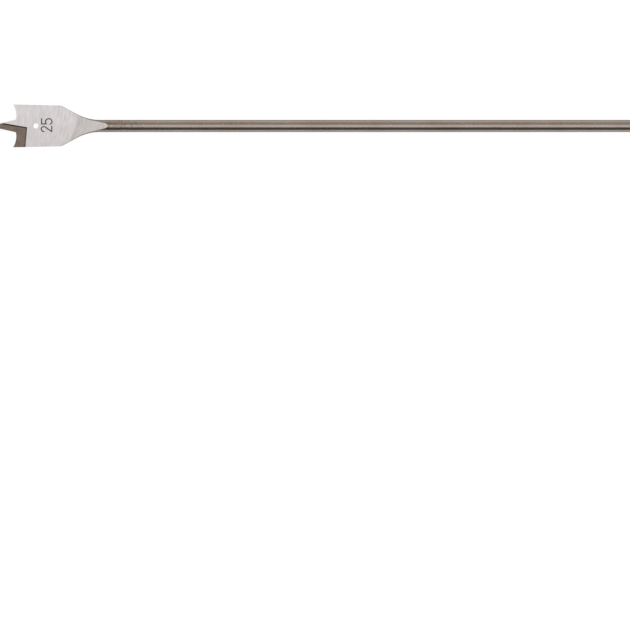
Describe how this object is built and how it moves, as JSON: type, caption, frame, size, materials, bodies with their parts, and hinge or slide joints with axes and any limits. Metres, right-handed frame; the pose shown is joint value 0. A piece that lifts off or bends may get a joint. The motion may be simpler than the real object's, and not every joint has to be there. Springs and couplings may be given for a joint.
{
  "type": "spade drill bit",
  "caption": "Long spade bit for boring holes in wood: a flat ground blade with a centre point, spurs and chip recesses, on a round shaft with a hexagonal drive shank.",
  "frame": {"origin": "centre of the shank's end face, on the drilling axis", "axes": "+X along the drilling axis from the tip to the shank's end, +Z square to the blade's marked front face, +Y across the blade"},
  "size_m": [0.4, 0.025, 0.007],
  "materials": {
    "steel": "cross-ground bright blade faces; brown tempered skin on the shaft and in the chip recesses"
  },
  "bodies": {
    "root": {"spade_bit": "steel"}
  },
  "joints": []
}
